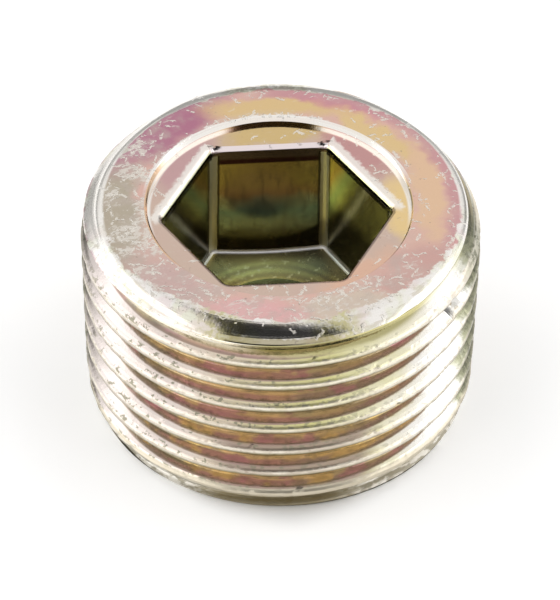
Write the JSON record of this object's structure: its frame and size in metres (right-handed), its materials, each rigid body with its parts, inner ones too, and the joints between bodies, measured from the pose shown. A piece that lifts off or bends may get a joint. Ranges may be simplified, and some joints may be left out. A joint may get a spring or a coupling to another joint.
{
  "type": "hex socket plug",
  "caption": "Short tapered pipe plug with an outside right-hand thread, a rounded shoulder and a hexagonal wrench socket sunk in a shallow round recess in its flat top.",
  "frame": {"origin": "centre of the flat small end, on the axis of the thread", "axes": "+Z along the axis of the thread, from the small end towards the wrench socket; +Y through the middle of a flat of the hexagon"},
  "size_m": [0.0202, 0.0202, 0.012],
  "materials": {
    "plated_steel": "yellow passivated zinc plating on forged steel, bright with pink, gold and olive interference tints, worn pale on the edges"
  },
  "bodies": {
    "root": {"plug_body": "plated_steel"}
  },
  "joints": []
}
